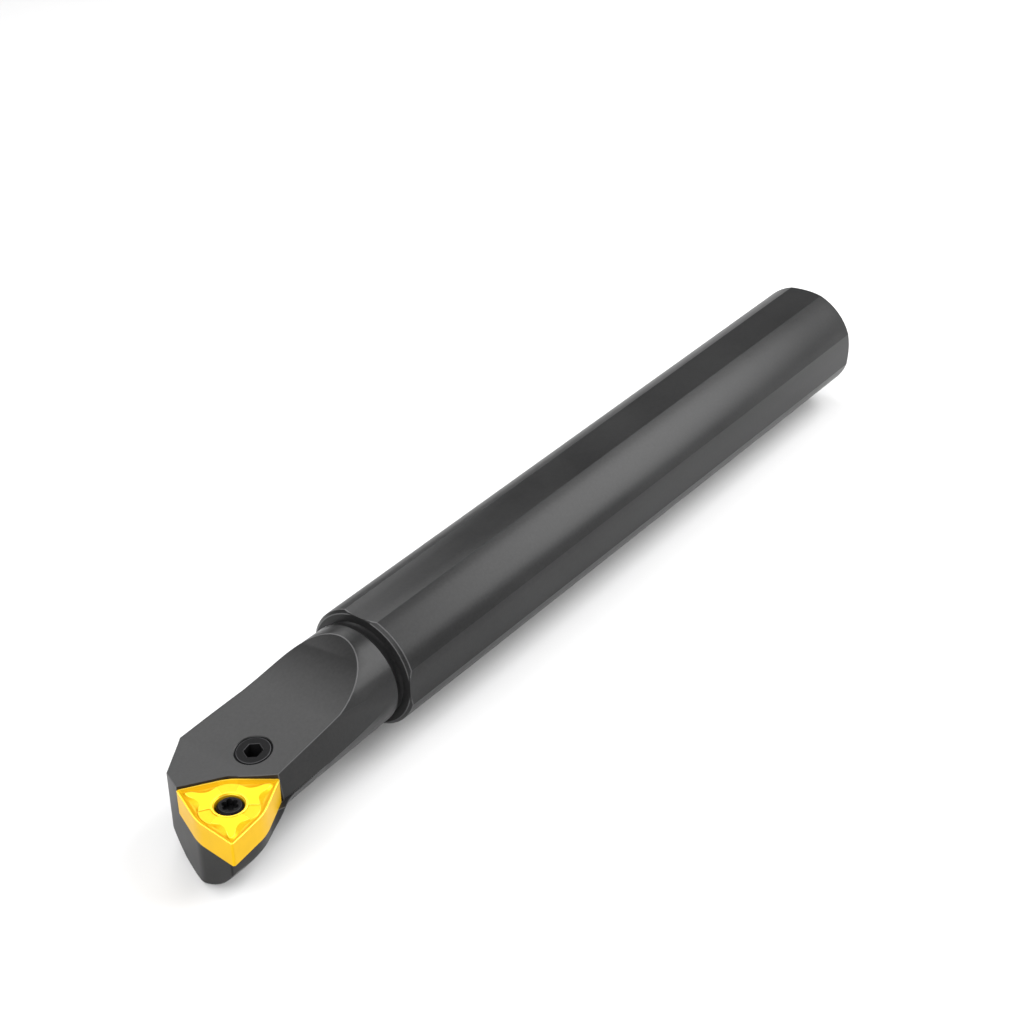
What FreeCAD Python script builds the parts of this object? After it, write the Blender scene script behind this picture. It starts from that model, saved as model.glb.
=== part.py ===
import FreeCAD, Part
import math
import os

# A right-hand boring bar that holds one trigon insert with a knee lever.
# The bar is one piece of steel. Its frame has X along the shank, from the rear
# face towards the cutting head, Z up, and Y towards the side that cuts.
# All sizes are in millimetres and all angles in degrees.

# Bar as a whole
overall_length = 200.0
cutting_offset = 13.5
shank_diameter = 23.0
shank_flat_distance = 10.9
collar_position = 151.7
collar_chamfer = 0.6
rear_chamfer = 0.8

# Neck and the groove that relieves its root
neck_radius_at_collar = 9.8
neck_radius_at_head = 10.4
relief_groove_width = 2.1
relief_groove_depth = 0.65
relief_floor_place = 0.35
relief_wall_rise = 0.3

# Head, which flares from the neck towards the insert and sits off centre. Its far
# side widens in a long even taper, its near side in a short curve.
head_radius = 13.4
head_offset = 1.4
head_flare_length = 16.2
head_flare_to_tip = 20.1
flare_inflection = 0.3
far_taper_length = 19.0
far_taper_to_tip = 28.0
flare_sections = 10

# Top of the head: a level land, a shallow incline and a round cutter run-out
head_top_height = 1.05
top_land_length = 13.6
top_incline_length = 16.1
top_incline_angle = 9.3
top_blend_radius = 15.0
run_out_radius = 28.5

# Trims of the head
front_corner_setback = 5.7
front_corner_side = 6.5
front_corner_angle = 30.0
front_setback = 0.05
flank_setback = 0.75
front_blend_radius = 6.0
front_edge_radius = 0.3
flank_length = 10.2
flank_run_out_radius = 4.0
side_relief_distance = 9.0
side_relief_angle = 3.0
side_relief_turn = 1.4
side_relief_depth = 5.3

# Insert
insert_circle = 12.7
insert_thickness = 4.76
insert_hole = 5.16
insert_corner_angle = 80.0
insert_nose_radius = 0.4
insert_middle_radius = 10.0
insert_hole_chamfer = 0.25
axial_rake = 1.5
radial_rake = 1.5
corner_direction = 45.0

# Chip breaker on both faces of the insert. The crown and the foot of its island are
# given from one corner to the middle of a side, as angles and as shares of the
# inscribed circle's radius.
land_width = 0.2
groove_ramp_width = 0.75
groove_depth = 0.4
island_height = 0.3
island_crown = (
    (0, 1.26), (4, 1.165), (6.3, 1.016), (13, 0.827), (21, 0.767), (31, 0.775), (45, 0.8),
    (60, 0.819),
)
island_foot = (
    (0, 1.354), (4.5, 1.283), (10.8, 1.102), (18.5, 0.945), (27, 0.866), (36, 0.85),
    (47, 0.858), (60, 0.866),
)
island_lobe_drop = 0.12
island_lobe_span = 43.0
hole_rim_width = 0.5

# Pocket
pocket_gap = 0.02
pocket_corner_radius = 1.0

# Lever and the hollow that it rocks in
stem_diameter = 4.5
stem_waist_diameter = 3.9
stem_waist_top = 1.5
stem_top_below_face = 0.35
stem_clamp_shift = 0.25
stem_chamfer = 0.35
stem_root_rise = 1.0
stem_root_fillet = 0.6
stem_recess_size = 3.0
stem_recess_depth = 1.2
recess_lobe_share = 0.17
recess_core_share = 0.31
lever_width = 4.2
heel_radius = 1.3
heel_shift = 1.2
heel_depth = 3.8
heel_floor_share = 0.35
heel_floor_fillet = 3.0
arm_rise = 0.6
arm_root_height = 2.2
arm_nose_height = 1.2
arm_nose_rounding = 0.35
arm_shoulder_gap = 0.6
arm_tip_gap = 0.25
lever_gap = 0.3
heel_gap = 0.1
lever_room_above = 0.8
lever_bore_diameter = 6.8
lever_slot_reach = 5.5

# Lever screw, which stands square to the shallow incline of the head's top
screw_to_tip = 18.3
screw_offset = 1.65
screw_diameter = 6.4
screw_hole_diameter = 6.55
screw_top_below_face = 0.04
screw_groove_diameter = 3.8
screw_play_above = 0.25
screw_play_below = 0.3
screw_foot_diameter = 5.0
screw_foot_hole_diameter = 5.3
screw_foot_length = 0.8
screw_chamfer = 0.25
screw_hole_bottom_gap = 0.2
screw_hole_seam_turn = 90.0
hexagon_size = 3.0
hexagon_depth = 3.6
hexagon_turn = 4.6
hole_mouth_chamfer = 0.15

# Allowance by which a cutting tool passes the surface that it cuts
overshoot = 5.0


def vec(x, y, z=0.0):
    return FreeCAD.Vector(x, y, z)


def polar(radius, angle):
    a = math.radians(angle)
    return (radius * math.cos(a), radius * math.sin(a))


def rounded_wire(points, radii, height=0.0):
    """Closed wire through 2D points, with an arc of the given radius at each corner."""
    corners = []
    count = len(points)
    for i in range(count):
        here = vec(*points[i])
        before = (vec(*points[i - 1]) - here).normalize()
        after = (vec(*points[(i + 1) % count]) - here).normalize()
        if radii[i] <= 0:
            corners.append((here, None, here))
            continue
        half = before.getAngle(after) / 2
        reach = radii[i] / math.tan(half)
        centre_way = (before + after).normalize()
        middle = here + centre_way * (radii[i] / math.sin(half) - radii[i])
        corners.append((here + before * reach, middle, here + after * reach))
    edges = []
    for i in range(count):
        start, middle, end = corners[i]
        if middle is not None:
            edges.append(Part.Arc(start, middle, end).toShape())
        following = corners[(i + 1) % count][0]
        if (following - end).Length > 1e-6:
            edges.append(Part.LineSegment(end, following).toShape())
    wire = Part.Wire(edges)
    wire.translate(vec(0, 0, height))
    return wire


def prism(wire, height):
    return Part.Face(wire).extrude(vec(0, 0, height))


# Seat frame: origin on the insert's underside at the middle of its hole, w along
# the hole. The insert, the lever and the screw are drawn upright in this frame
# and then tilted into the head with it.
circle_radius = insert_circle / 2
side_normal = 90 - insert_corner_angle / 2
corner_reach = circle_radius / math.cos(math.radians(side_normal))
middle_reach = circle_radius / math.cos(math.radians(60 - side_normal))
nose_reach = corner_reach - insert_nose_radius * (corner_reach / circle_radius - 1)


def seat_frame():
    turn = FreeCAD.Rotation(vec(0, 1, 0), axial_rake)
    lean = FreeCAD.Rotation(vec(1, 0, 0), -radial_rake)
    rotation = turn.multiply(lean)
    nose = vec(*polar(nose_reach, corner_direction), insert_thickness)
    tip = vec(overall_length, cutting_offset, 0)
    return FreeCAD.Placement(tip - rotation.multVec(nose), rotation)


seat = seat_frame()


def on_seat(shape):
    placed = shape.copy()
    placed.Placement = seat.multiply(placed.Placement)
    return placed


def top_height_at(x):
    """Height of the head's top where the shallow incline runs."""
    rise = overall_length - top_land_length - x
    return head_top_height + max(0.0, rise) * math.tan(math.radians(top_incline_angle))


# Screw frame: origin where the screw's axis leaves the head's top, z up that axis.
# The lever's arm meets the axis at the height of the arm's middle over the seat.
screw_x = overall_length - screw_to_tip
screw_turn = FreeCAD.Rotation(vec(0, 1, 0), top_incline_angle)
screw_place = FreeCAD.Placement(vec(screw_x, screw_offset, top_height_at(screw_x)), screw_turn)
screw_way = seat.Rotation.inverted().multVec(screw_turn.multVec(vec(0, 0, 1)))
screw_mouth = seat.inverse().multVec(screw_place.Base)
arm_middle = arm_rise - heel_depth
arm_depth = (screw_mouth.z - arm_middle) / screw_way.z
arm_end = screw_mouth - screw_way * arm_depth
arm_reach = math.hypot(arm_end.x, arm_end.y)
arm_direction = math.degrees(math.atan2(arm_end.y, arm_end.x))
nose_top = arm_middle + arm_nose_height / 2
nose_bottom = arm_middle - arm_nose_height / 2

# Where the middle of the nose's grip lies along the screw's axis
grip_radius = (screw_diameter + screw_groove_diameter) / 4
grip = vec(*polar(arm_reach - grip_radius, arm_direction), arm_middle)
grip_place = (grip - screw_mouth).dot(screw_way)
groove_top = grip_place + arm_nose_height / 2 + screw_play_above
groove_bottom = grip_place - arm_nose_height / 2 - screw_play_below
screw_top = -screw_top_below_face
screw_bottom = groove_bottom - screw_foot_length


def on_screw(shape):
    placed = shape.copy()
    placed.Placement = screw_place.multiply(placed.Placement)
    return placed


def insert_points(inset):
    """Corners and corner radii of the trigon, moved inwards by the inset."""
    scale = (circle_radius - inset) / circle_radius
    points = []
    radii = []
    for i in range(3):
        angle = corner_direction + 120 * i
        points.append(polar(corner_reach * scale, angle))
        radii.append(max(insert_nose_radius - inset, 0.12))
        points.append(polar(middle_reach * scale, angle + 60))
        radii.append(max(insert_middle_radius - inset, 0.12))
    return points, radii


def insert_outline(inset, height):
    points, radii = insert_points(inset)
    return rounded_wire(points, radii, height)


def island_outline(half, height):
    """Wavy closed line that runs through the same half side six times, mirrored in turn."""
    points = []
    for i in range(3):
        falling = [(120 - a, r) for a, r in reversed(half[1:-1])]
        for a, r in list(half) + falling:
            points.append(vec(*polar(r * circle_radius, corner_direction + 120 * i + a), height))
    curve = Part.BSplineCurve()
    curve.interpolate(points, PeriodicFlag=True)
    return Part.Wire([curve.toShape()])


def breaker_recess():
    """Ramp that falls from the land at the edge to the groove's floor."""
    top = insert_outline(land_width, insert_thickness)
    floor = insert_outline(land_width + groove_ramp_width, insert_thickness - groove_depth)
    return Part.makeLoft([top, floor], True, True)


def breaker_island():
    """Raised middle of the face, with its three lobes a step lower than its points."""
    floor = insert_thickness - groove_depth
    foot = island_outline(island_foot, floor)
    crown = island_outline(island_crown, floor + island_height)
    island = Part.makeLoft([foot, crown], True, True)
    lobe_reach = middle_reach - land_width
    for i in range(3):
        middle = corner_direction + 60 + 120 * i
        sector = rounded_wire(
            [
                (0, 0),
                polar(lobe_reach, middle - island_lobe_span / 2),
                polar(lobe_reach, middle + island_lobe_span / 2),
            ],
            [0, 0, 0],
            floor + island_height - island_lobe_drop,
        )
        island = island.cut(prism(sector, island_height))
    rim_radius = insert_hole / 2 + hole_rim_width
    rim = Part.makeCone(
        rim_radius + groove_depth / 2, rim_radius, groove_depth, vec(0, 0, floor)
    )
    return island.fuse(rim)


def make_insert():
    blank = prism(insert_outline(0, 0), insert_thickness)
    recess = breaker_recess()
    island = breaker_island()
    middle = insert_thickness / 2
    for upper in (True, False):
        cutter = recess if upper else recess.mirror(vec(0, 0, middle), vec(0, 0, 1))
        raised = island if upper else island.mirror(vec(0, 0, middle), vec(0, 0, 1))
        blank = blank.cut(cutter).fuse(raised)
    hole_radius = insert_hole / 2
    blank = blank.cut(Part.makeCylinder(hole_radius, insert_thickness + 2, vec(0, 0, -1)))
    flare = Part.makeCone(
        hole_radius, hole_radius + insert_hole_chamfer, insert_hole_chamfer,
        vec(0, 0, insert_thickness - insert_hole_chamfer),
    )
    blank = blank.cut(flare)
    blank = blank.cut(flare.mirror(vec(0, 0, middle), vec(0, 0, 1)))
    return on_seat(blank.removeSplitter())


def flare_share(t):
    """Smooth step from 0 to 1, hollow up to the inflection and full after it."""
    if t < flare_inflection:
        return t * t / flare_inflection
    return 1 - (1 - t) ** 2 / (1 - flare_inflection)


def shank():
    body = Part.makeCylinder(shank_diameter / 2, collar_position, vec(0, 0), vec(1, 0, 0))
    width = 2 * shank_flat_distance
    square = Part.makeBox(
        collar_position + 2, width, width, vec(-1, -shank_flat_distance, -shank_flat_distance)
    )
    body = body.common(square)
    radius = shank_diameter / 2
    rear = Part.makeCone(
        radius - rear_chamfer, radius, rear_chamfer, vec(0, 0), vec(1, 0, 0)
    )
    front = Part.makeCone(
        radius, radius - collar_chamfer, collar_chamfer,
        vec(collar_position - collar_chamfer, 0), vec(1, 0, 0),
    )
    barrel = Part.makeCylinder(
        radius, collar_position - rear_chamfer - collar_chamfer, vec(rear_chamfer, 0), vec(1, 0, 0)
    )
    return body.common(rear.fuse([barrel, front]))


def neck_radius(x):
    flare_start = overall_length - head_flare_to_tip
    share = (x - collar_position) / (flare_start - collar_position)
    return neck_radius_at_collar + (neck_radius_at_head - neck_radius_at_collar) * share


def neck():
    """Cone from the collar to the place where the far side starts to widen."""
    end = overall_length - far_taper_to_tip
    return Part.makeCone(
        neck_radius_at_collar, neck_radius(end), end - collar_position,
        vec(collar_position, 0), vec(1, 0, 0),
    )


def head_flare():
    """Flare through circles whose two sides widen apart, so that they drift off centre."""
    taper_start = overall_length - far_taper_to_tip
    flare_start = overall_length - head_flare_to_tip
    flare_end = flare_start + head_flare_length
    near_full = head_radius + head_offset
    far_full = head_radius - head_offset
    far_start = neck_radius(taper_start)
    places = [taper_start, (taper_start + flare_start) / 2]
    for i in range(flare_sections + 1):
        places.append(flare_start + head_flare_length * i / flare_sections)
    sections = []
    for x in places:
        if x < flare_start:
            near = neck_radius(x)
        else:
            share = flare_share((x - flare_start) / head_flare_length)
            near = neck_radius_at_head + (near_full - neck_radius_at_head) * share
        far = far_start + (far_full - far_start) * min(1.0, (x - taper_start) / far_taper_length)
        circle = Part.makeCircle((near + far) / 2, vec(x, (near - far) / 2), vec(1, 0, 0))
        sections.append(Part.Wire([circle]))
    flare = Part.makeLoft(sections, True, False)
    nose = Part.makeCylinder(
        head_radius, overall_length + overshoot - flare_end, vec(flare_end, head_offset),
        vec(1, 0, 0),
    )
    return flare.fuse(nose)


def relief_groove():
    """Groove whose rear wall is the collar's face and whose floor rises to the neck."""
    wall = collar_position
    end = collar_position + relief_groove_width
    outer = neck_radius(end)
    above = outer + relief_groove_depth
    floor = outer - relief_groove_depth
    low = vec(wall + relief_groove_width * relief_floor_place, 0, floor)
    sink = vec(wall, 0, floor + relief_groove_depth * relief_wall_rise)
    edges = [
        Part.LineSegment(vec(wall, 0, above), sink).toShape(),
        Part.Arc(sink, low, vec(end, 0, outer)).toShape(),
        Part.LineSegment(vec(end, 0, outer), vec(end, 0, above)).toShape(),
        Part.LineSegment(vec(end, 0, above), vec(wall, 0, above)).toShape(),
    ]
    return Part.Face(Part.Wire(edges)).revolve(vec(0, 0), vec(1, 0, 0), 360)


def top_cut():
    """What is milled off the top of the head, with the cutter's round run-out."""
    slope = math.radians(top_incline_angle)
    knee_x = overall_length - top_land_length
    blend = top_blend_radius * math.tan(slope / 2)
    front = vec(overall_length + overshoot, 0, head_top_height)
    land_end = vec(knee_x + blend, 0, head_top_height)
    knee_middle = vec(
        land_end.x - top_blend_radius * math.sin(slope / 2), 0,
        head_top_height + top_blend_radius * (1 - math.cos(slope / 2)),
    )
    rise_start = vec(
        knee_x - blend * math.cos(slope), 0, head_top_height + blend * math.sin(slope)
    )
    rise_end = vec(
        knee_x - top_incline_length, 0, head_top_height + top_incline_length * math.tan(slope)
    )
    centre = rise_end + vec(math.sin(slope), 0, math.cos(slope)) * run_out_radius
    clear = neck_radius_at_head + 1
    last = math.acos((centre.z - clear) / run_out_radius)

    def on_run_out(angle):
        return centre - vec(math.sin(angle), 0, math.cos(angle)) * run_out_radius

    above = shank_diameter
    edges = [
        Part.LineSegment(front, land_end).toShape(),
        Part.Arc(land_end, knee_middle, rise_start).toShape(),
        Part.LineSegment(rise_start, rise_end).toShape(),
        Part.Arc(rise_end, on_run_out((slope + last) / 2), on_run_out(last)).toShape(),
        Part.LineSegment(on_run_out(last), vec(on_run_out(last).x, 0, above)).toShape(),
        Part.LineSegment(vec(on_run_out(last).x, 0, above), vec(front.x, 0, above)).toShape(),
        Part.LineSegment(vec(front.x, 0, above), front).toShape(),
    ]
    profile = Part.Face(Part.Wire(edges))
    profile.translate(vec(0, -shank_diameter))
    return profile.extrude(vec(0, 2 * shank_diameter))


def plan_point(reach, angle):
    """Plan place of a point of the insert's underside, given from its hole's middle."""
    foot = seat.multVec(vec(*polar(reach, angle)))
    return (foot.x, foot.y)


def inward(a, b, distance):
    """The line from a to b moved to its left by the distance, as two points."""
    way = (vec(*b) - vec(*a)).normalize()
    side = vec(-way.y, way.x) * distance
    return (a[0] + side.x, a[1] + side.y), (b[0] + side.x, b[1] + side.y)


def meet(line, other):
    """Crossing of two plan lines, each given by two points."""
    (x1, y1), (x2, y2) = line
    (x3, y3), (x4, y4) = other
    det = (x1 - x2) * (y3 - y4) - (y1 - y2) * (x3 - x4)
    a = x1 * y2 - y1 * x2
    b = x3 * y4 - y3 * x4
    return ((a * (x3 - x4) - (x1 - x2) * b) / det, (a * (y3 - y4) - (y1 - y2) * b) / det)


def head_plan():
    """Plan outline that trims the nose: a bevel, two front faces and two on the cutting side."""
    nose = plan_point(corner_reach, corner_direction)
    front_middle = plan_point(middle_reach, corner_direction - 60)
    far = plan_point(corner_reach, corner_direction - 120)
    side_middle = plan_point(middle_reach, corner_direction + 60)
    rear = plan_point(corner_reach, corner_direction + 120)
    side_line = inward(nose, side_middle, flank_setback)
    rear_line = inward(side_middle, rear, flank_setback)
    front_line = inward(front_middle, nose, front_setback)
    slant_line = inward(far, front_middle, front_setback)
    bevel_way = math.radians(front_corner_angle)
    bevel_end = (overall_length - front_corner_setback, -front_corner_side)
    bevel_far = (
        bevel_end[0] - 2 * shank_diameter * math.cos(bevel_way),
        bevel_end[1] - 2 * shank_diameter * math.sin(bevel_way),
    )
    bevel_line = (bevel_far, bevel_end)
    wide = 4 * shank_diameter
    side_way = (vec(*rear_line[1]) - vec(*rear_line[0])).normalize() * flank_length
    side_end = (rear_line[0][0] + side_way.x, rear_line[0][1] + side_way.y)
    corner = meet(side_line, front_line)
    points = [
        bevel_far,
        meet(bevel_line, slant_line),
        meet(slant_line, front_line),
        corner,
        meet(side_line, rear_line),
        side_end,
        (side_end[0], wide),
        (-overshoot, wide),
        (-overshoot, bevel_far[1]),
    ]
    radii = [0, 0, front_blend_radius, front_edge_radius]
    radii += [insert_middle_radius, flank_run_out_radius, 0, 0, 0]
    wire = rounded_wire(points, radii, -shank_diameter)
    return prism(wire, 2 * shank_diameter)


def side_relief():
    """Leaning plane that trims the cutting side of the head above the seat."""
    lean = math.tan(math.radians(side_relief_angle))
    bottom = head_top_height - side_relief_depth
    top = shank_diameter
    corners = [
        (side_relief_distance + (head_top_height - bottom) * lean, bottom),
        (shank_diameter, bottom),
        (shank_diameter, top),
        (side_relief_distance + (head_top_height - top) * lean, top),
    ]
    end = overall_length - top_land_length
    length = end - collar_position - relief_groove_width
    wire = Part.makePolygon([vec(end, y, z) for y, z in corners + corners[:1]])
    relief = Part.Face(wire).extrude(vec(-length, 0))
    relief.rotate(vec(end, side_relief_distance), vec(0, 0, 1), -side_relief_turn)
    return relief


def pocket():
    """Room for the insert: two walls at its rear, open to the front and the top."""
    gap = pocket_gap
    scale = (circle_radius + gap) / circle_radius
    far = 3 * circle_radius
    root = polar(middle_reach * scale, corner_direction + 180)
    walls = []
    for turn in (120, -120):
        corner = polar(corner_reach * scale, corner_direction + turn)
        way = (vec(*corner) - vec(*root)).normalize() * far
        walls.append((root[0] + way.x, root[1] + way.y))
    ahead = polar(2 * far, corner_direction)
    points = [
        root,
        walls[1],
        (walls[1][0] + ahead[0], walls[1][1] + ahead[1]),
        (walls[0][0] + ahead[0], walls[0][1] + ahead[1]),
        walls[0],
    ]
    return on_seat(prism(rounded_wire(points, [pocket_corner_radius, 0, 0, 0, 0]), shank_diameter))


def lever_frame(shape):
    """Turns a shape drawn with its arm along +X so that the arm points at the screw."""
    turned = shape.copy()
    turned.rotate(vec(0, 0), vec(0, 0, 1), arm_direction)
    return on_seat(turned)


def lever_hollow():
    """Hollow under the seat in which the lever rocks: slot, bore and tunnel to the screw."""
    floor = -heel_depth - heel_radius - heel_gap
    rear = heel_shift + heel_radius + heel_gap
    width = lever_width + 2 * lever_gap
    roof = arm_middle + arm_root_height / 2 + lever_room_above
    corner = vec(-rear, -width / 2, floor)
    slot = Part.makeBox(rear + lever_slot_reach, width, -floor, corner)
    tunnel = Part.makeBox(rear + arm_reach, width, roof - floor, corner)
    bore = Part.makeCylinder(lever_bore_diameter / 2, -floor, vec(0, 0, floor))
    return lever_frame(slot.fuse([tunnel, bore]))


def screw_hole():
    """Stepped hole of the lever screw, with its mouth broken all round.

    Its seam lies across the bar, clear of the line where the head's top bends.
    """
    radius = screw_hole_diameter / 2
    foot = Part.makeCylinder(
        screw_foot_hole_diameter / 2, -screw_bottom, vec(0, 0, screw_bottom - screw_hole_bottom_gap)
    )
    barrel = Part.makeCylinder(radius, overshoot - groove_bottom, vec(0, 0, groove_bottom))
    mouth = Part.makeCone(
        radius, radius + 2 * hole_mouth_chamfer, 2 * hole_mouth_chamfer,
        vec(0, 0, -hole_mouth_chamfer),
    )
    hole = barrel.fuse([foot, mouth])
    hole.rotate(vec(0, 0), vec(0, 0, 1), screw_hole_seam_turn)
    return on_screw(hole)


def make_bar():
    body = shank().fuse([neck(), head_flare()])
    body = body.cut(relief_groove())
    body = body.common(head_plan())
    body = body.cut(top_cut())
    body = body.cut(side_relief())
    body = body.cut(pocket())
    body = body.cut(lever_hollow())
    body = body.cut(screw_hole())
    return body.removeSplitter()


def six_lobe(size, depth):
    """Six-lobed recess, as a round core with six round lobes on its rim."""
    lobe = size * recess_lobe_share
    core = Part.makeCylinder(size * recess_core_share, depth)
    lobes = []
    for i in range(6):
        x, y = polar(size / 2 - lobe, 60 * i + 30)
        lobes.append(Part.makeCylinder(lobe, depth, vec(x, y)))
    return core.fuse(lobes)


def make_lever():
    """Knee lever: a stem for the insert's hole, a rounded heel and an arm."""
    stem_top = insert_thickness - stem_top_below_face
    stem_radius = stem_diameter / 2
    waist_radius = stem_waist_diameter / 2
    shift = stem_clamp_shift
    tip = arm_reach - screw_groove_diameter / 2 - arm_tip_gap
    shoulder = arm_reach - screw_diameter / 2 - arm_shoulder_gap
    heel_floor = -heel_depth - heel_radius
    root_top = arm_middle + arm_root_height / 2
    root_bottom = arm_middle - arm_root_height / 2
    side = [
        (-heel_shift, heel_floor),
        (shoulder * heel_floor_share, heel_floor),
        (shoulder, root_bottom),
        (shoulder, nose_bottom),
        (tip, nose_bottom),
        (tip, nose_top),
        (shoulder, nose_top),
        (shoulder, root_top),
        (shift + stem_radius, root_top),
        (shift + waist_radius, root_top + stem_root_rise),
        (shift - waist_radius, root_top + stem_root_rise),
        (-heel_shift - heel_radius, -heel_depth),
    ]
    small = arm_nose_rounding
    radii = [0, heel_floor_fillet, 0, small, small, small, small, small, stem_root_fillet, 0, 0, 0]
    plate = prism(rounded_wire(side, radii), lever_width)
    plate.rotate(vec(0, 0), vec(1, 0, 0), 90)
    plate.translate(vec(0, lever_width / 2))
    heel = Part.makeCylinder(
        heel_radius, lever_width, vec(-heel_shift, -lever_width / 2, -heel_depth), vec(0, 1, 0)
    )
    waist = Part.makeCylinder(
        waist_radius, stem_waist_top - root_top, vec(shift, 0, root_top)
    )
    head = Part.makeCylinder(stem_radius, stem_top - stem_waist_top, vec(shift, 0, stem_waist_top))
    head = head.makeChamfer(stem_chamfer, [e for e in head.Edges if len(e.Vertexes) == 1])
    recess = six_lobe(stem_recess_size, stem_recess_depth)
    recess.translate(vec(shift, 0, stem_top - stem_recess_depth))
    lever = plate.fuse([heel, waist, head]).cut(recess)
    return lever_frame(lever.removeSplitter())


def hexagon(size, height):
    reach = size / 2 / math.cos(math.radians(30))
    points = [polar(reach, hexagon_turn + 60 * i) for i in range(6)]
    return rounded_wire(points, [0] * 6, height)


def make_screw():
    """Headless lever screw: socket at the top, groove for the lever, and a foot."""
    radius = screw_diameter / 2
    barrel = Part.makeCylinder(radius, screw_top - groove_top, vec(0, 0, groove_top))
    barrel = barrel.makeChamfer(screw_chamfer, [e for e in barrel.Edges if len(e.Vertexes) == 1])
    neck_part = Part.makeCylinder(
        screw_groove_diameter / 2, screw_foot_length + groove_top - screw_bottom,
        vec(0, 0, screw_bottom),
    )
    foot = Part.makeCylinder(screw_foot_diameter / 2, screw_foot_length, vec(0, 0, screw_bottom))
    foot = foot.makeChamfer(
        screw_chamfer / 2, [e for e in foot.Edges if len(e.Vertexes) == 1]
    )
    screw = barrel.fuse([neck_part, foot])
    socket = prism(hexagon(hexagon_size, screw_top - hexagon_depth), hexagon_depth + overshoot)
    return on_screw(screw.cut(socket).removeSplitter())


def save(name, shape):
    solids = shape.Solids
    single = solids[0] if len(solids) == 1 else Part.makeCompound(solids)
    single.exportStep("parts/" + name + ".step")
    box = single.BoundBox
    print(
        name, "valid", single.isValid(), "solids", len(solids),
        "volume %.1f" % single.Volume,
        "box %.2f %.2f %.2f to %.2f %.2f %.2f"
        % (box.XMin, box.YMin, box.ZMin, box.XMax, box.YMax, box.ZMax),
    )


os.makedirs("parts", exist_ok=True)
save("bar_body", make_bar())
save("cutting_insert", make_insert())
save("clamping_lever", make_lever())
save("lever_screw", make_screw())
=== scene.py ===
import math

import bmesh
import bpy
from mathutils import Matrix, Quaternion, Vector


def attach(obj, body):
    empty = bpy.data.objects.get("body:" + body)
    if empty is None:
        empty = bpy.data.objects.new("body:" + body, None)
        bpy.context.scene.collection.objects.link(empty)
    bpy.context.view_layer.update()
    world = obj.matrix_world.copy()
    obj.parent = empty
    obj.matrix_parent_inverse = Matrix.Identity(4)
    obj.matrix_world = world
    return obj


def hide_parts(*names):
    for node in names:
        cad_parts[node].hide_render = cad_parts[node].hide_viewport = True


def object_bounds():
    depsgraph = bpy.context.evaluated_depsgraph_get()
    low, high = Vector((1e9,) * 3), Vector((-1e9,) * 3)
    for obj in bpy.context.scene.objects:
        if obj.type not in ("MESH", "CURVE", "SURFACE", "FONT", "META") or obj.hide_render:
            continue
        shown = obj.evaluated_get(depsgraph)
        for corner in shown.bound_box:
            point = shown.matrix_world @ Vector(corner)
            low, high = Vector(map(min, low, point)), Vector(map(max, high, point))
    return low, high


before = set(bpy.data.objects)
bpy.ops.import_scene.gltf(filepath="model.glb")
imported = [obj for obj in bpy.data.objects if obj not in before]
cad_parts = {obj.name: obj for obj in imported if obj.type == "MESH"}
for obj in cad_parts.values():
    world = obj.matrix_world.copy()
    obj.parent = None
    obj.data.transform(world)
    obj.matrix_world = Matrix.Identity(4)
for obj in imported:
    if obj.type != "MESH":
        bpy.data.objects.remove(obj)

cad_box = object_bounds()

# Studio
# The bar lies on a plain pale floor under soft studio light. The camera stands off the
# cutting head, above it and to the cutting side, and looks back along the shank.
camera_place = Vector((0.396308, 0.223634, 0.239375))
camera_turn = (57.8175, 1.3991, 126.8575)
camera_focal_pixels = 2314.2
camera_near_end = 0.01
image_pixels = 1024
sensor_width = 36.0

camera_data = bpy.data.cameras.new("studio_camera")
camera_data.sensor_width = sensor_width
camera_data.lens = camera_focal_pixels / image_pixels * sensor_width
camera_data.clip_start = camera_near_end
camera = bpy.data.objects.new("studio_camera", camera_data)
camera.location = camera_place
camera.rotation_euler = [math.radians(a) for a in camera_turn]
bpy.context.scene.collection.objects.link(camera)
bpy.context.scene.camera = camera

floor_half_width = 3.0
floor_middle = 0.1
floor_gap = 0.00002
floor_shape = bmesh.new()
bmesh.ops.create_grid(floor_shape, x_segments=1, y_segments=1, size=floor_half_width)
floor_height = cad_box[0][2] - floor_gap
bmesh.ops.translate(floor_shape, verts=floor_shape.verts, vec=(floor_middle, 0, floor_height))
floor_mesh = bpy.data.meshes.new("studio_floor")
floor_shape.to_mesh(floor_mesh)
floor_shape.free()
studio_floor = bpy.data.objects.new("studio_floor", floor_mesh)
bpy.context.scene.collection.objects.link(studio_floor)


def new_material(name):
    """Node material with its shader, and helpers that add a node and link two sockets."""
    material = bpy.data.materials.new(name)
    material.use_nodes = True
    nodes = material.node_tree.nodes
    shader = nodes["Principled BSDF"]

    def add(kind, **settings):
        node = nodes.new(kind)
        for key, value in settings.items():
            if key in node.inputs.keys():
                if isinstance(value, bpy.types.NodeSocket):
                    material.node_tree.links.new(value, node.inputs[key])
                else:
                    node.inputs[key].default_value = value
            else:
                setattr(node, key, value)
        return node

    def link(output, socket):
        material.node_tree.links.new(output, socket)

    return material, shader, add, link


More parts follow.
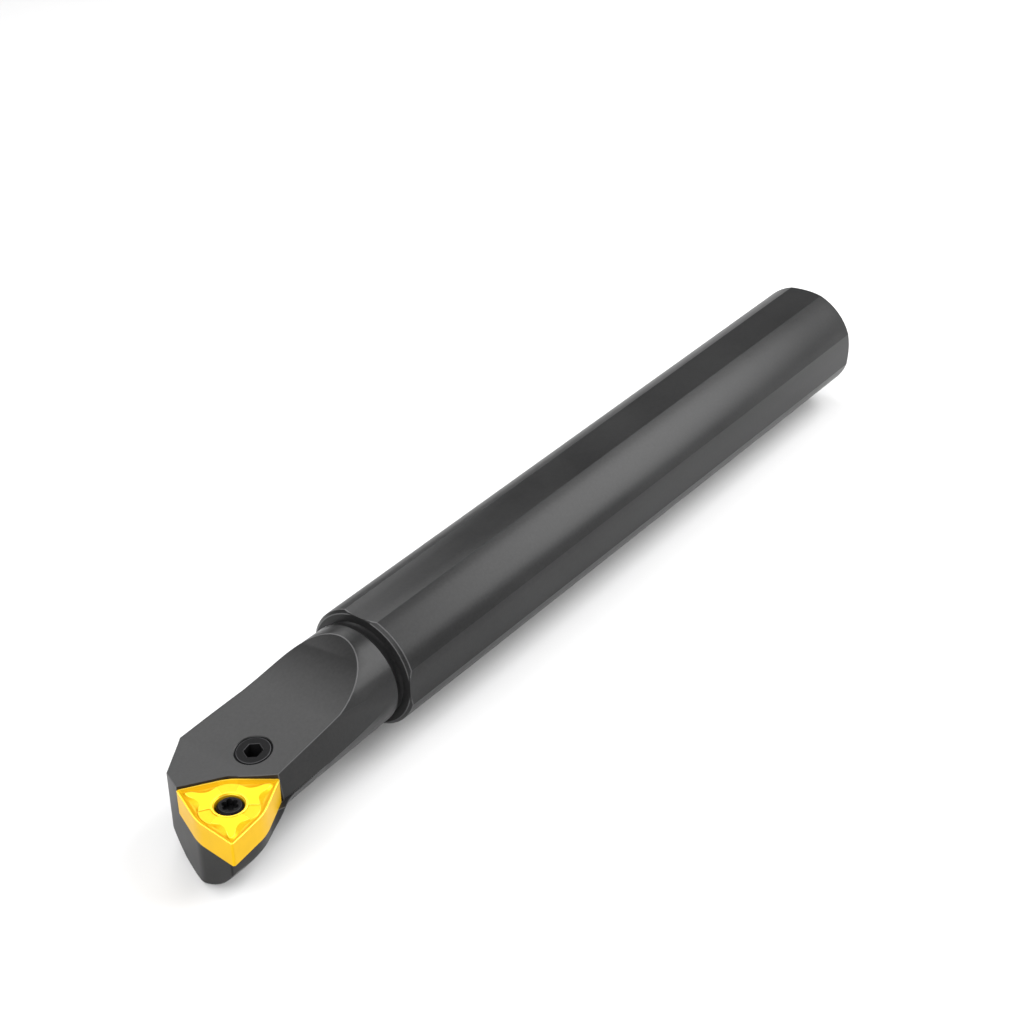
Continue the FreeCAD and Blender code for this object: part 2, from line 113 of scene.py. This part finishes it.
paper_dark = (0.56, 0.56, 0.562, 1)
paper_light = (0.59, 0.59, 0.59, 1)
paper_roughness = 0.9
paper, paper_shader, add, link = new_material("studio_paper")
paper_shader.inputs["Roughness"].default_value = paper_roughness
paper_place = add("ShaderNodeTexCoord")
paper_mottle = add("ShaderNodeTexNoise", Scale=6.0, Detail=3.0)
link(paper_place.outputs["Object"], paper_mottle.inputs["Vector"])
paper_tone = add("ShaderNodeValToRGB")
paper_tone.color_ramp.elements[0].color = paper_dark
paper_tone.color_ramp.elements[1].color = paper_light
link(paper_mottle.outputs["Fac"], paper_tone.inputs["Fac"])
link(paper_tone.outputs["Color"], paper_shader.inputs["Base Color"])
studio_floor.data.materials.append(paper)


def softbox(name, place, target, width, height, power, roll=0.0):
    """Rectangular area light that faces a target, rolled about its aim by some degrees."""
    data = bpy.data.lights.new(name, "AREA")
    data.shape = "RECTANGLE"
    data.size = width
    data.size_y = height
    data.energy = power
    lamp = bpy.data.objects.new(name, data)
    lamp.location = place
    lamp.visible_camera = False
    aim = Vector(target) - Vector(place)
    turn = aim.to_track_quat("-Z", "Y") @ Quaternion((0, 0, 1), math.radians(roll))
    lamp.rotation_euler = turn.to_euler()
    bpy.context.scene.collection.objects.link(lamp)


head_middle = Vector((0.185, 0.0, 0.0))
shank_middle = Vector((0.08, 0.0, 0.0))
softbox("front_softbox", (0.85, 0.08, 0.46), head_middle, width=0.8, height=0.8, power=10.5)
softbox("head_softbox", (0.08, -0.22, 0.255), head_middle, width=0.3, height=0.2, power=0.95)
softbox(
    "band_softbox", (-0.54, 0.48, 0.58), shank_middle,
    width=0.95, height=0.66, power=18.5, roll=46.0,
)
softbox("top_softbox", (0.1, 0.0, 2.5), shank_middle, width=3.0, height=3.0, power=20.0)

air_light = 0.28
world = bpy.data.worlds.new("studio_air")
bpy.context.scene.world = world
world.use_nodes = True
world_light = world.node_tree.nodes["Background"]
world_light.inputs["Color"].default_value = (1, 1, 1, 1)
world_light.inputs["Strength"].default_value = air_light
bpy.context.scene.view_settings.view_transform = "Standard"

# Bar
# One piece of hardened alloy steel, turned and milled, with a dark satin oxide finish.
# Outer edges with room for it are broken a little, and a painted highlight lightens them.
bar_edge_break = 0.00012
bar_edge_spacing = 2.0
edge_angle = 24.0
crease_angle = 14.0
coplanar_angle = 0.5
same_point = 1e-6
steel_dark = (0.008, 0.008, 0.0082, 1)
steel_light = (0.015, 0.015, 0.0152, 1)
# Painted highlight colour for the bar's broken edges.
steel_edge_highlight = (0.06, 0.06, 0.061, 1)
steel_shine = 0.17
steel_roughness = 0.36
cloud_scale = 45.0
grain_scale = 1800.0
grain_share = 0.35
tone_dark_end = 0.35
tone_light_end = 0.65
roughness_spread = 0.04
grinding_stretch = (9000, 250, 250)
grinding_depth = 0.00002
grinding_strength = 0.12


def cad_copy(node):
    """Closed bmesh of a CAD node, with its flat faces whole."""
    shape = bmesh.new()
    shape.from_mesh(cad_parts[node].data)
    bmesh.ops.remove_doubles(shape, verts=shape.verts, dist=same_point)
    bmesh.ops.dissolve_limit(
        shape, angle_limit=math.radians(coplanar_angle), verts=shape.verts, edges=shape.edges
    )
    return shape


def break_edges(shape, width, segments=2, spacing=0.0, clamp=False):
    """Rounds sharp outer edges and marks them for a painted edge highlight.

    The spacing leaves out edges with a neighbour shorter than so many widths. The clamp
    keeps rounds from crossing, at the cost of narrowing them all.
    """
    # Mask for the painted edge highlight.
    painted_highlight = shape.faces.layers.float.new("edge_highlight")
    room = spacing * width
    sharp = [
        e for e in shape.edges
        if e.is_convex and e.calc_face_angle(0) > math.radians(edge_angle)
        and min(n.calc_length() for v in e.verts for n in v.link_edges) > room
    ]
    made = bmesh.ops.bevel(
        shape, geom=sharp, offset=width, affect="EDGES", segments=segments,
        profile=0.5, material=-1, clamp_overlap=clamp,
    )
    for face in made["faces"]:
        face[painted_highlight] = 1.0


def finished(name, shape, material, body, node):
    """Turns a bmesh into the piece that stands for a CAD node."""
    for face in shape.faces:
        face.smooth = True
    for edge in shape.edges:
        edge.smooth = edge.calc_face_angle(0) < math.radians(crease_angle)
    mesh = bpy.data.meshes.new(name)
    shape.to_mesh(mesh)
    shape.free()
    mesh.materials.append(material)
    piece = bpy.data.objects.new(name, mesh)
    bpy.context.scene.collection.objects.link(piece)
    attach(piece, body)
    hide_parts(node)


def tinted(add, link, base, attribute, tint):
    """Colour that goes from the base to the tint where a face attribute is set."""
    mark = add("ShaderNodeAttribute", attribute_name=attribute)
    mix = add("ShaderNodeMix", data_type="RGBA")
    link(mark.outputs["Fac"], mix.inputs["Factor"])
    link(base, mix.inputs["A"])
    mix.inputs["B"].default_value = tint
    return mix.outputs["Result"]


def clouded_roughness(add, link, shader, cloud, low, high):
    """Roughness that follows the clouds of a finish between two values."""
    rough = add("ShaderNodeMapRange", Value=cloud.outputs["Fac"])
    rough.inputs["To Min"].default_value = low
    rough.inputs["To Max"].default_value = high
    link(rough.outputs["Result"], shader.inputs["Roughness"])


def oxide_steel(name, dark, light, painted_highlight, shine, roughness):
    """Dark oxide over steel: clouded, finely ground, with a painted highlight on broken
    edges.
    """
    material, shader, add, link = new_material(name)
    place = add("ShaderNodeTexCoord").outputs["Object"]
    cloud = add("ShaderNodeTexNoise", Vector=place, Scale=cloud_scale, Detail=4.0)
    grain = add("ShaderNodeTexNoise", Vector=place, Scale=grain_scale, Detail=2.0)
    tone = add("ShaderNodeMix", data_type="FLOAT")
    link(cloud.outputs["Fac"], tone.inputs["A"])
    link(grain.outputs["Fac"], tone.inputs["B"])
    tone.inputs["Factor"].default_value = grain_share
    ramp = add("ShaderNodeValToRGB", Fac=tone.outputs["Result"])
    ramp.color_ramp.elements[0].position = tone_dark_end
    ramp.color_ramp.elements[0].color = dark
    ramp.color_ramp.elements[1].position = tone_light_end
    ramp.color_ramp.elements[1].color = light
    # Painted highlight on the broken edges.
    colour = tinted(add, link, ramp.outputs["Color"], "edge_highlight", painted_highlight)
    link(colour, shader.inputs["Base Color"])
    shader.inputs["Metallic"].default_value = 0.0
    shader.inputs["Specular IOR Level"].default_value = shine
    clouded_roughness(
        add, link, shader, cloud, roughness - roughness_spread, roughness + roughness_spread
    )
    stretch = add("ShaderNodeMapping", Vector=place)
    stretch.inputs["Scale"].default_value = grinding_stretch
    lines = add("ShaderNodeTexNoise", Vector=stretch.outputs["Vector"], Scale=1.0, Detail=3.0)
    relief = add(
        "ShaderNodeBump", Height=lines.outputs["Fac"],
        Strength=grinding_strength, Distance=grinding_depth,
    )
    link(relief.outputs["Normal"], shader.inputs["Normal"])
    return material


bar_shape = cad_copy("bar_body")
break_edges(bar_shape, bar_edge_break, spacing=bar_edge_spacing)
bar_finish = oxide_steel(
    "dark_satin_oxide", steel_dark, steel_light, steel_edge_highlight, steel_shine, steel_roughness
)
finished("dressed_bar", bar_shape, bar_finish, "bar", "bar_body")

# Insert
# A double-sided trigon of sintered carbide, pressed with a chip breaker on both faces and
# coated gold. The lever pulls it into the head's pocket. Painted shade deepens the grooves.
gold_deep = (0.60, 0.345, 0.003, 1)
gold_light = (0.70, 0.415, 0.005, 1)
# Painted highlight colour for the insert's broken edges.
gold_edge_highlight = (1.0, 0.74, 0.12, 1)
# Painted shade colour for the chip breaker's grooves.
gold_groove_shade = (0.48, 0.235, 0.001, 1)
gold_metal = 0.42
gold_shine = 0.1
gold_smoothest = 0.30
gold_roughest = 0.42
gold_cloud_scale = 350.0
gold_grain_scale = 6000.0
gold_grain_strength = 0.15
gold_grain_depth = 0.00001
insert_edge_break = 0.00003
groove_depth = 0.0004
level_cosine = 0.9
flank_cosine = 0.5


def gold_coating(name):
    """Hard gold coating: lightly clouded, with a painted highlight on the edges and painted
    shade in the grooves.
    """
    material, shader, add, link = new_material(name)
    place = add("ShaderNodeTexCoord").outputs["Object"]
    cloud = add("ShaderNodeTexNoise", Vector=place, Scale=gold_cloud_scale, Detail=3.0)
    ramp = add("ShaderNodeValToRGB", Fac=cloud.outputs["Fac"])
    ramp.color_ramp.elements[0].color = gold_deep
    ramp.color_ramp.elements[1].color = gold_light
    # Painted highlight on the broken edges, then painted shade in the grooves.
    with_edge_highlight = tinted(add, link, ramp.outputs["Color"], "edge_highlight", gold_edge_highlight)
    colour = tinted(add, link, with_edge_highlight, "groove_shade", gold_groove_shade)
    link(colour, shader.inputs["Base Color"])
    shader.inputs["Metallic"].default_value = gold_metal
    shader.inputs["Specular IOR Level"].default_value = gold_shine
    clouded_roughness(add, link, shader, cloud, gold_smoothest, gold_roughest)
    grain = add("ShaderNodeTexNoise", Vector=place, Scale=gold_grain_scale, Detail=2.0)
    relief = add(
        "ShaderNodeBump", Height=grain.outputs["Fac"],
        Strength=gold_grain_strength, Distance=gold_grain_depth,
    )
    link(relief.outputs["Normal"], shader.inputs["Normal"])
    return material


insert_shape = cad_copy("cutting_insert")
break_edges(insert_shape, insert_edge_break, segments=1)
groove_shade_layer = insert_shape.faces.layers.float.new("groove_shade")
insert_middle = sum((v.co for v in insert_shape.verts), Vector()) / len(insert_shape.verts)
widest_top = max(
    insert_shape.faces, key=lambda f: f.calc_area() * (f.normal.z > level_cosine)
)
insert_axis = widest_top.normal.copy()
edge_height = max(abs((v.co - insert_middle).dot(insert_axis)) for v in insert_shape.verts)
# Painted shade: level faces darken the deeper they lie below the edge, fully at groove_depth.
for face in insert_shape.faces:
    height = abs((face.calc_center_median() - insert_middle).dot(insert_axis))
    if abs(face.normal.dot(insert_axis)) > flank_cosine:
        face[groove_shade_layer] = min(1.0, (edge_height - height) / groove_depth)
finished(
    "dressed_insert", insert_shape, gold_coating("gold_hard_coating"),
    "bar", "cutting_insert",
)

# Lever
# A knee lever of tool steel, blackened, with a star recess in its stem's top. It rocks in
# the head's chamber on its heel, and its stem stands in the insert's hole.
small_dark = (0.004, 0.004, 0.0044, 1)
small_light = (0.007, 0.007, 0.0074, 1)
# Painted highlight colour for the lever's and screw's broken edges.
small_edge_highlight = (0.05, 0.05, 0.052, 1)
small_shine = 0.03
small_roughness = 0.42
lever_edge_break = 0.00005
lever_edge_spacing = 3.0
small_finish = oxide_steel(
    "black_oxide", small_dark, small_light, small_edge_highlight, small_shine, small_roughness
)
lever_shape = cad_copy("clamping_lever")
break_edges(
    lever_shape, lever_edge_break, segments=1, spacing=lever_edge_spacing, clamp=True
)
finished(
    "dressed_lever", lever_shape, small_finish, "lever", "clamping_lever"
)

# Lever screw
# A headless hexagon socket screw of alloy steel, blackened like the lever. It stands flush
# in the head behind the insert, and its waist takes the lever's arm down.
screw_edge_break = 0.00006
screw_shape = cad_copy("lever_screw")
break_edges(screw_shape, screw_edge_break, segments=1, clamp=True)
finished("dressed_screw", screw_shape, small_finish, "screw", "lever_screw")
